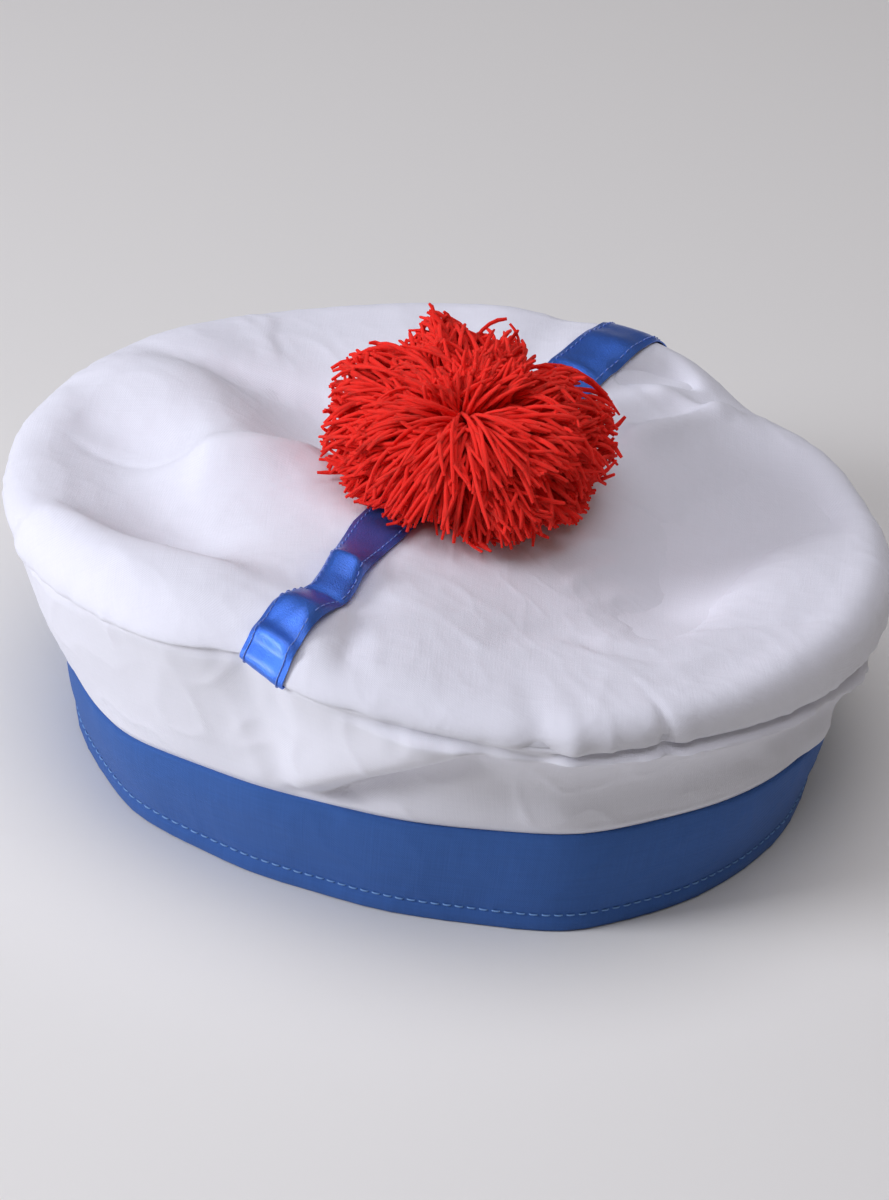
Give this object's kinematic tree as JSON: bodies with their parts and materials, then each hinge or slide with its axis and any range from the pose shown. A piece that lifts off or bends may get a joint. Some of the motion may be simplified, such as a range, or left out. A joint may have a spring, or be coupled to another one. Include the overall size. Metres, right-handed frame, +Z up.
{
  "type": "sailor cap with pompom",
  "caption": "Round white cotton sailor cap: soft flat crown, stiff blue headband, a blue satin ribbon over the top and a red yarn pompom. Open below for the head.",
  "frame": {"origin": "centre of the whole cap's box in plan, on the plane that its headband stands on", "axes": "+Z up through the crown, +X to the right in the picture's view and +Y away from it, so the ribbon's front end lies towards -Y and a little towards -X"},
  "size_m": [0.2156, 0.2123, 0.102],
  "materials": {
    "white_cotton": "plain-woven white cotton with a cool tint, thinly backed, matt, soft creases",
    "blue_cotton": "mid-blue cotton twill over a stiff core, matt, topstitched near its lower edge",
    "blue_satin": "narrow royal-blue satin ribbon, glossy along its run, stitched along both edges",
    "red_yarn": "bright red plied yarn, cut ends, matt and a little fuzzy"
  },
  "bodies": {
    "root": {"crown_top": "white_cotton", "crown_side": "white_cotton", "headband": "blue_cotton", "ribbon": "blue_satin", "pompom": "red_yarn"}
  },
  "joints": []
}
